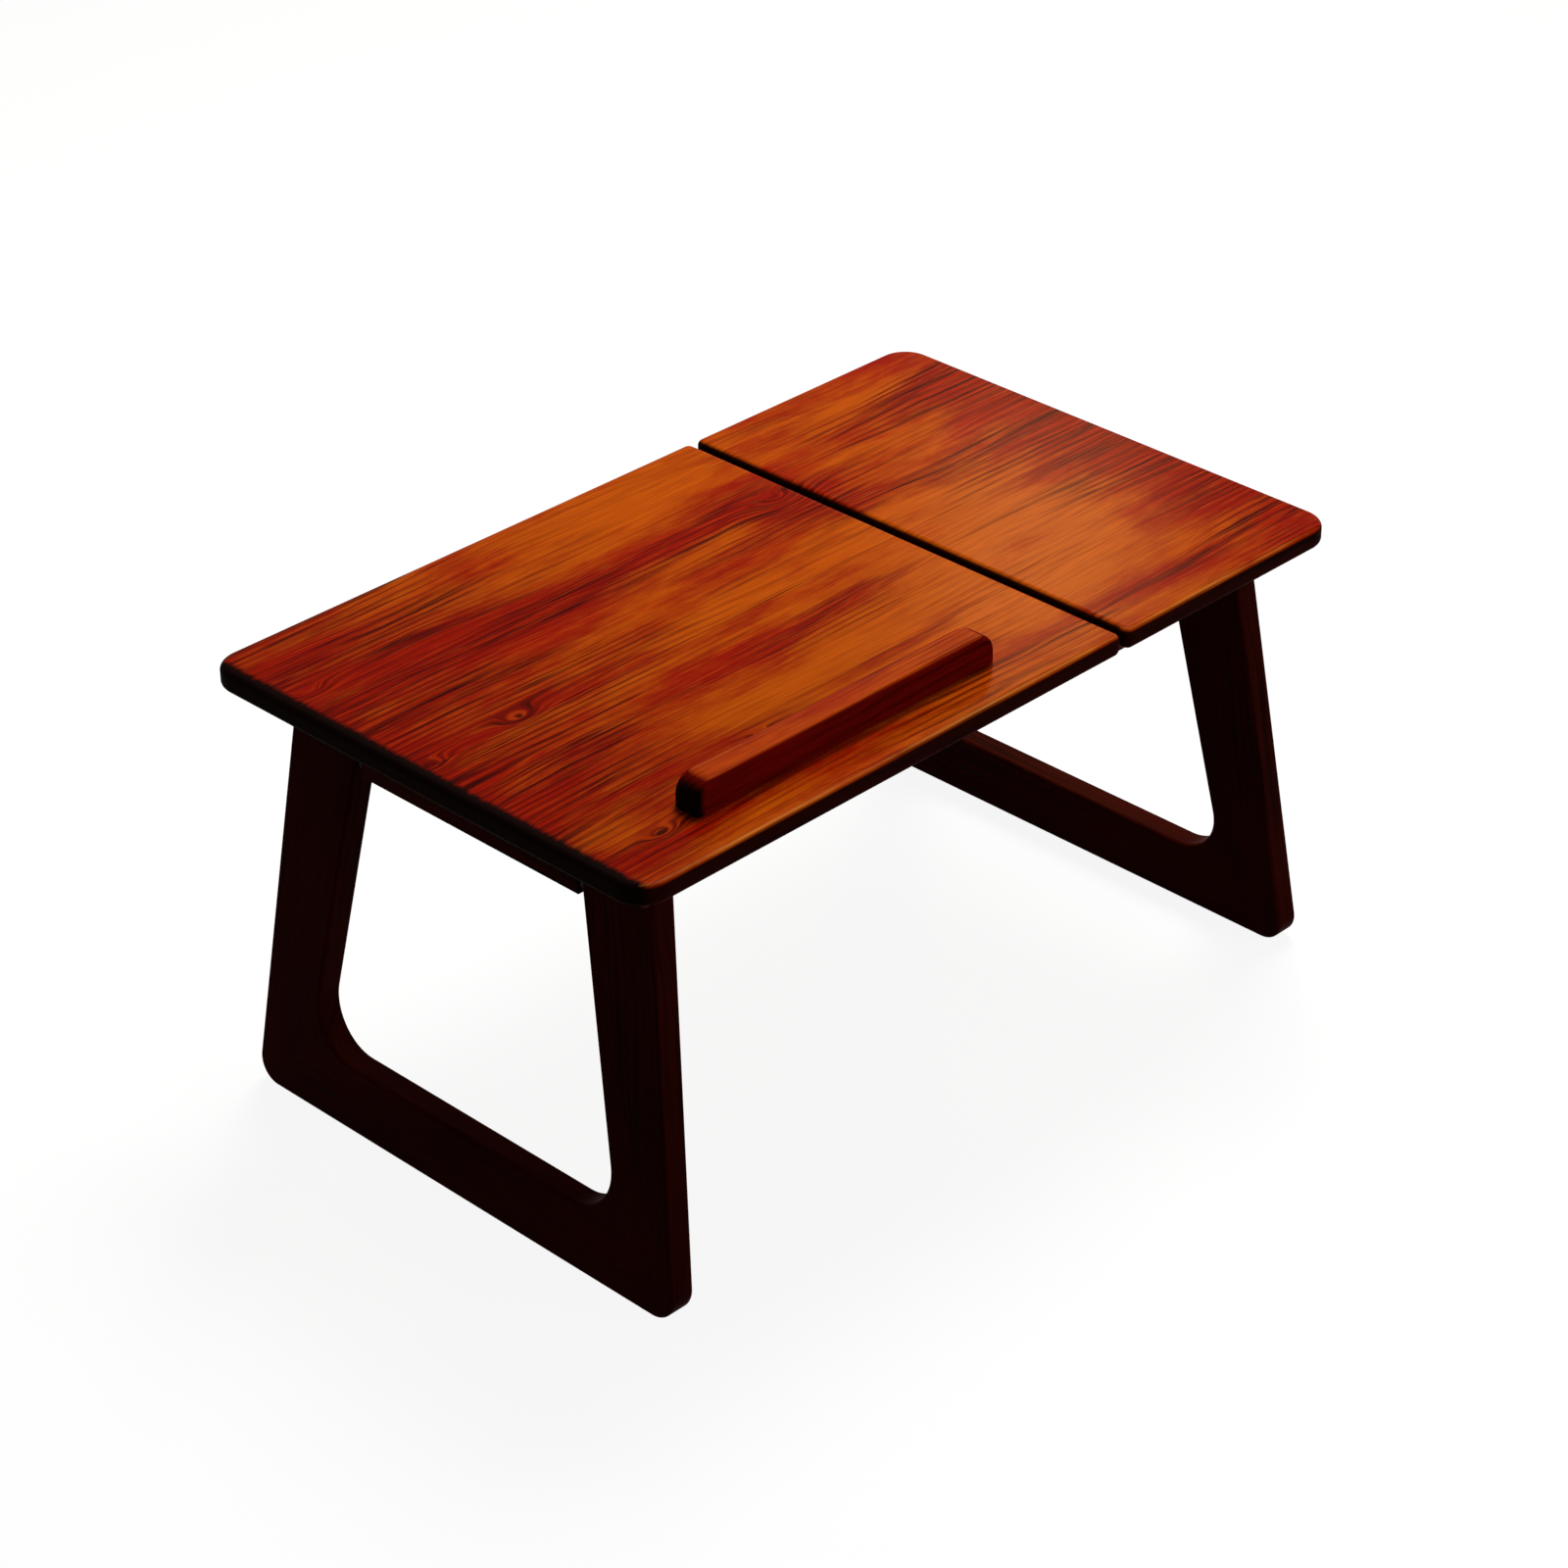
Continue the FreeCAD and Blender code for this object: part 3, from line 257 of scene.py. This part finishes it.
# Where the top's figure lies, in millimetres from the middle of the top: (x, y), reach along x and y, then
# how far a knot pushes the rings aside and how much of it is dark, or how much darker a place is drawn:
# most are stain, two are painted shadow
KNOTS = [
    ((-215, 4), (13, 7), 2.6, 0.2),
    ((-287, -2), (14, 7), 1.7, 0.0),
    ((-247, -146), (10, 5), 1.6, 0.5),
    ((-280, 112), (16, 7), 1.4, 0.0),
    ((-132, -112), (10, 5), 1.6, 0.3),
    ((82, 85), (22, 12), 2.4, 0.0),
]
DARK = [
    ((-240, 110), (150, 100), 0.62),
    ((-60, 93), (150, 13), 0.9),
    ((-250, -60), (120, 110), 0.6),
    ((0, -36), (130, 10), 0.5),
    ((150, -152), (190, 9), 0.7),
    ((275, -28), (50, 26), 0.5),
    # Painted shadow where a vase stood on the top
    ((130, 70), (60, 40), 0.3),
    ((292, 0), (58, 230), 1.0),
    ((-302, 0), (18, 230), 0.8),
    # Painted shadow under the same vase
    ((160, 150), (50, 30), 0.4),
    ((60, 80), (45, 50), 0.5),
    ((-20, 145), (120, 32), -0.7),
    ((-100, -90), (90, 26), -0.5),
    ((150, -70), (70, 60), -0.4),
]
# Heights of the faces, and the left ends that the coat and its painted shade lap over, in millimetres
UNDER = 289.0
TOP = 303.0
LEDGE_TOP = 324.0
TOP_LEFT = -284.0
LEDGE_LEFT = -212.0
TOP_TONES = ("#9a1502", "#c05405", "#640801", "#2e0200", "#2c0803")
LEDGE_TONES = ("#a42604", "#c04c03", "#741004", "#440600", "#780a03")
RAIL_TONES = ("#5a2410", "#6e3016", "#34120a", "#240a04", "#240a04")
LEG_TONES = ("#300803", "#3e0c04", "#180402", "#100201", "#100201")
ALONG_X = (0, 0, 0)
ALONG_Y = (0, 0, -np.pi / 2)
# The top is glued up from planks. Every other piece is narrower than one plank, so it has no glue line
ONE_PLANK = {"plank": 400, "offset": 200.0}
RAIL = {"tones": RAIL_TONES, "pitch": 6, "gloss": 0.5, "shine": 0.01, **ONE_PLANK}
LEG = {"tones": LEG_TONES, "pitch": 5, "gloss": 0.42, "shine": 0.003, **ONE_PLANK}
top_fir = stained_fir("stained_fir_top", ALONG_X, TOP_TONES, plank=94, offset=96.0, pitch=6, gloss=0.22,
                      shine=0.006, knots=KNOTS, dark=DARK, edge=(TOP, UNDER, TOP_LEFT))
ledge_fir = stained_fir("stained_fir_ledge", ALONG_X, LEDGE_TONES, pitch=5, gloss=0.38, shine=0.01,
                        edge=(LEDGE_TOP, TOP, LEDGE_LEFT), **ONE_PLANK)
rail_fir = stained_fir("stained_fir_long_rail", ALONG_X, **RAIL)
cross_fir = stained_fir("stained_fir_cross_rail", ALONG_Y, **RAIL)
runner_fir = stained_fir("stained_fir_runner", ALONG_Y, **LEG)
finishes = {
    "tilt_board": top_fir, "side_board": top_fir, "stop_ledge": ledge_fir,
    "front_rail": rail_fir, "rear_rail": rail_fir, "prop_rack": rail_fir,
    "left_end_rail": cross_fir, "right_end_rail": cross_fir, "slot_rail": cross_fir,
    "left_runner": runner_fir, "right_runner": runner_fir,
    "left_pivot_beam": runner_fir, "right_pivot_beam": runner_fir,
}
# The grain of each leg follows its lean and its splay, in degrees
LEAN = 5.1
SPLAY = 8.8
for side, lean in (("left", 90 - LEAN), ("right", 90 + LEAN)):
    for end, splay in (("front", SPLAY), ("rear", -SPLAY)):
        leg = f"{side}_{end}_leg"
        turn = (np.radians(splay), np.radians(lean), 0)
        finishes[leg] = stained_fir("stained_fir_" + leg, turn, **LEG)


def worked_metal(name, tone, darkening, grain, gloss):
    """Metal whose tone and gloss vary with a noise. grain is its size in millimetres along x, y and z."""
    material, tree = new_material(name)
    place = add(tree, "TexCoord").outputs["Object"]
    place = add(tree, "Mapping", {"Vector": place, "Scale": [PER_METRE / reach for reach in grain]})
    noise = add(tree, "TexNoise", {"Vector": place, "Scale": 1.0, "Detail": 4.0, "Roughness": 0.6})
    colour = add(tree, "Mix", {0: noise, 6: linear(tone), 7: linear(darkening)}, data_type="RGBA")
    rough = add(tree, "MapRange", {"Value": noise, "To Min": gloss - 0.1, "To Max": gloss + 0.15})
    shader = add(tree, "BsdfPrincipled", {"Base Color": colour.outputs[2], "Roughness": rough,
                                          "Metallic": 1.0})
    add(tree, "OutputMaterial", {"Surface": shader})
    return material


# Zinc on steel is pale grey with a faint bluish bloom. Drawn wire is brighter and streaked along its
# length. Stamped brass is dull yellow with brown tarnish. The legs' pivots are blackened with oxide.
zinc = worked_metal("zinc_plated_steel", "#b9bcc0", "#8d9196", (3, 3, 3), 0.38)
drawn = worked_metal("bright_drawn_steel", "#a9aaad", "#77797c", (6, 6, 1), 0.3)
blackened = worked_metal("blackened_steel", "#2e2e30", "#1c1c1e", (4, 4, 4), 0.42)
brass = worked_metal("stamped_brass", "#b48f4e", "#6d4f22", (9, 9, 9), 0.36)

# Moulded rubber is matt and nearly black, with a fine pebble of 0.8 mm
PEBBLES_PER_METRE = 1200.0
rubber, tree = new_material("moulded_rubber")
place = add(tree, "TexCoord").outputs["Object"]
pebble = add(tree, "TexNoise", {"Vector": place, "Scale": PEBBLES_PER_METRE, "Detail": 2.0})
colour = add(tree, "Mix", {0: pebble, 6: linear("#161413"), 7: linear("#24211f")}, data_type="RGBA")
relief = add(tree, "Bump", {"Height": pebble, "Strength": 0.3, "Distance": 0.2 * MM})
shader = add(tree, "BsdfPrincipled", {"Base Color": colour.outputs[2], "Roughness": 0.85,
                                      "Normal": relief})
add(tree, "OutputMaterial", {"Surface": shader})

# Turned beech dowels are pale and bare, with brown flecks of 3 mm
FLECK = 3
beech, tree = new_material("bare_beech")
place = add(tree, "TexCoord").outputs["Object"]
place = add(tree, "Mapping", {"Vector": place, "Scale": [PER_METRE / FLECK] * 3})
fleck = add(tree, "TexNoise", {"Vector": place, "Scale": 1.0, "Detail": 3.0})
colour = add(tree, "Mix", {0: fleck, 6: linear("#cda777"), 7: linear("#a97c4b")}, data_type="RGBA")
shader = add(tree, "BsdfPrincipled", {"Base Color": colour.outputs[2], "Roughness": 0.6})
add(tree, "OutputMaterial", {"Surface": shader})

# A piece takes its own finish if it has one, else the finish of its slot in the record
finishes["pivot_pins"] = blackened
finishes["pivot_spacers"] = blackened
by_slot = {"bare_dowels": beech, "zinc_steel": zinc, "steel_pins": drawn, "hinge_brass": brass,
           "pad_rubber": rubber}
slots = {piece["node"]: piece["material_slot"] for piece in frame["record"]["subparts"]}
for label, item in frame["nodes"].items():
    item.data.materials.clear()
    item.data.materials.append(finishes.get(label) or by_slot[slots[label]])

# A screw head, counted in its radius: half the length of the cross, half the width of its floor, the width
# of its walls and the part of the height that is left on its floor; then how deep the skin turns under, in
# millimetres, and how many rings and steps round it has
ARM = 0.6
RECESS = 0.12
WALL = 0.06
FLOOR_PART = 0.05
TUCK = 0.2
RINGS = 25
STEPS = 72


def cross_heads(name, body, spots, radius, rise, upright):
    """Domed screw heads in one mesh. Height = rise * (1 - (r / R)^2 / 2), times a share that goes from a
    twentieth on the cross to one beyond its walls. The skin turns under at the rim and closes inside the
    plain head below. Spots are the middles of the plain heads, which face -Z, or -Y where upright."""
    r = np.concatenate([np.linspace(0, radius, RINGS), [radius, 0]])[:, None]
    turn = np.linspace(0, 2 * np.pi, STEPS, endpoint=False)[None, :]
    x, y = r * np.cos(turn), r * np.sin(turn)
    near = np.minimum(np.hypot(np.maximum(abs(x) - ARM * radius, 0), y),
                      np.hypot(np.maximum(abs(y) - ARM * radius, 0), x))
    groove = np.clip((near - RECESS * radius) / (WALL * radius), FLOOR_PART, 1)
    height = rise * (1 - (r / radius) ** 2 / 2) * groove
    height[-2:] = -TUCK
    shape = np.stack([x, -height, y], -1) if upright else np.stack([x, y, -height], -1)
    points = (np.array(spots)[:, None, None, :] + shape[None]) * MM
    grid = np.arange(points[..., 0].size).reshape(points.shape[:3])
    beside = np.roll(grid, -1, axis=2)
    faces = np.stack([grid[:, :-1], beside[:, :-1], beside[:, 1:], grid[:, 1:]], -1).reshape(-1, 4)
    mesh = bpy.data.meshes.new(name)
    mesh.from_pydata(points.reshape(-1, 3).tolist(), [], faces.tolist())
    work = bmesh.new()
    work.from_mesh(mesh)
    bmesh.ops.remove_doubles(work, verts=work.verts, dist=0.001 * MM)
    bmesh.ops.recalc_face_normals(work, faces=work.faces)
    work.to_mesh(mesh)
    work.free()
    mesh.shade_smooth()
    mesh.materials.append(zinc)
    piece = bpy.data.objects.new(name, mesh)
    scene.collection.objects.link(piece)
    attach(piece, body)


# Radius and rise in millimetres: the big heads lie half a millimetre deep in their counterbores, the small
# ones stand on plates
BIG = (3.9, 0.45)
SMALL = (2.7, 0.4)
HINGE_SCREWS = (-246.667, -213.333, 10.833, 44.167)
side_spots = [(x, y, 273.5) for x in (137.5, 189.25, 241) for y in (-139.5, 139.5)]
beam_spots = [(x, y, 246) for x in (-254.735, 254.735) for y in (-46.112, 0, 46.112)]
ledge_spots = [(x, -139.5, 289.5) for x in (-182.917, -101.25, -19.583)]
rail_leaf_spots = [(x, -164.7, 278.25) for x in HINGE_SCREWS]
board_leaf_spots = [(x, -172.75, 286.3) for x in HINGE_SCREWS]
clip_spots = [(x, y, 286.6) for x in (-212, 9.5) for y in (-58.1, -39.5)]
cross_heads("side_board_screw_heads", "base", side_spots, *BIG, upright=False)
cross_heads("beam_screw_heads", "base", beam_spots, *BIG, upright=False)
cross_heads("ledge_screw_heads", "reading_board", ledge_spots, *BIG, upright=False)
cross_heads("rail_leaf_screw_heads", "base", rail_leaf_spots, *SMALL, upright=True)
cross_heads("board_leaf_screw_heads", "reading_board", board_leaf_spots, *SMALL, upright=False)
cross_heads("clip_screw_heads", "reading_board", clip_spots, *SMALL, upright=False)


def seen(tree):
    """One where a ray comes from the camera, from a glossy surface or through glass, else nothing."""
    path = add(tree, "LightPath").outputs
    either = add(tree, "Math", {0: path["Is Camera Ray"], 1: path["Is Glossy Ray"]}, operation="MAXIMUM")
    return add(tree, "Math", {0: either, 1: path["Is Transmission Ray"]}, operation="MAXIMUM")


# The floor: pale to the eye and to reflections, mid-grey to the light that it throws back on the table. It
# lies just under the feet.
REACH = 40.0
LEVEL = -0.1 * MM
WHITE = (1, 1, 1, 1)
corners = [(x * REACH, y * REACH, LEVEL) for x, y in ((-1, -1), (1, -1), (1, 1), (-1, 1))]
mesh = bpy.data.meshes.new("floor")
mesh.from_pydata(corners, [], [(0, 1, 2, 3)])
floor = bpy.data.objects.new("floor", mesh)
scene.collection.objects.link(floor)
pale_floor, tree = new_material("pale_floor")
matt = add(tree, "BsdfDiffuse", {"Color": linear("#868684")})
lit = add(tree, "BsdfDiffuse", {"Color": (0.14, 0.14, 0.14, 1)})
glow = add(tree, "Emission", {"Color": WHITE, "Strength": 0.9})
bright = add(tree, "AddShader", {0: lit, 1: glow})
surface = add(tree, "MixShader", {0: seen(tree), 1: matt, 2: bright})
# It can be looked through from below, so that the underside of the table shows
below = add(tree, "NewGeometry").outputs["Backfacing"]
clear = add(tree, "BsdfTransparent")
surface = add(tree, "MixShader", {0: below, 1: surface, 2: clear})
add(tree, "OutputMaterial", {"Surface": surface})
floor.data.materials.append(pale_floor)

# The room's light: dim and even for the table, white behind it
world = bpy.data.worlds.new("room")
world.use_nodes = True
scene.world = world
tree = world.node_tree
tree.nodes.clear()
dim = add(tree, "Background", {"Color": WHITE, "Strength": 0.13})
bright = add(tree, "Background", {"Color": WHITE, "Strength": 1.0})
room = add(tree, "MixShader", {0: seen(tree), 1: dim, 2: bright})
add(tree, "OutputWorld", {"Surface": room})


def aim(eye, target):
    """A matrix that stands at the eye and looks along its own -Z axis at the target."""
    back = np.subtract(eye, target)
    back = back / np.linalg.norm(back)
    right = np.cross((0, 0, 1), back)
    right = right / np.linalg.norm(right)
    turn = np.column_stack([right, np.cross(back, right), back])
    return Matrix.Translation(eye) @ Matrix(turn.tolist()).to_4x4()


def panel(name, eye, target, side, power, tone="#ffffff"):
    """A square soft light, its side in metres and its power in watts."""
    light = bpy.data.lights.new(name, "AREA")
    light.size = side
    light.energy = power
    light.color = linear(tone)[:3]
    item = bpy.data.objects.new(name, light)
    item.matrix_world = aim(eye, target)
    scene.collection.objects.link(item)


# A broad light overhead to the right, a window behind on the right that lays a sheen on the top, and a weak
# fill from the user's side
panel("overhead", (0.9, 0.45, 2.3), (0, 0, 0.3), side=1.0, power=46)
panel("window", (1.476, 1.077, 1.24), (0.1, 0, 0.3), side=0.22, power=6, tone="#ffca8a")
panel("fill", (0.9, -2.3, 1.0), (0, 0, 0.2), side=0.8, power=12)

# The camera stands to the left of the user, 2.72 m away and 31 degrees up
EYE = (-1.64815, -1.63426, 1.56542)
TARGET = (0.03646, -0.02847, 0.16118)
camera_data = bpy.data.cameras.new("camera")
camera_data.sensor_width = 36
camera_data.lens = 100.16
camera_data.shift_x = -0.05
camera = bpy.data.objects.new("camera", camera_data)
camera.matrix_world = aim(EYE, TARGET)
scene.collection.objects.link(camera)
scene.camera = camera
scene.view_settings.view_transform = "Standard"
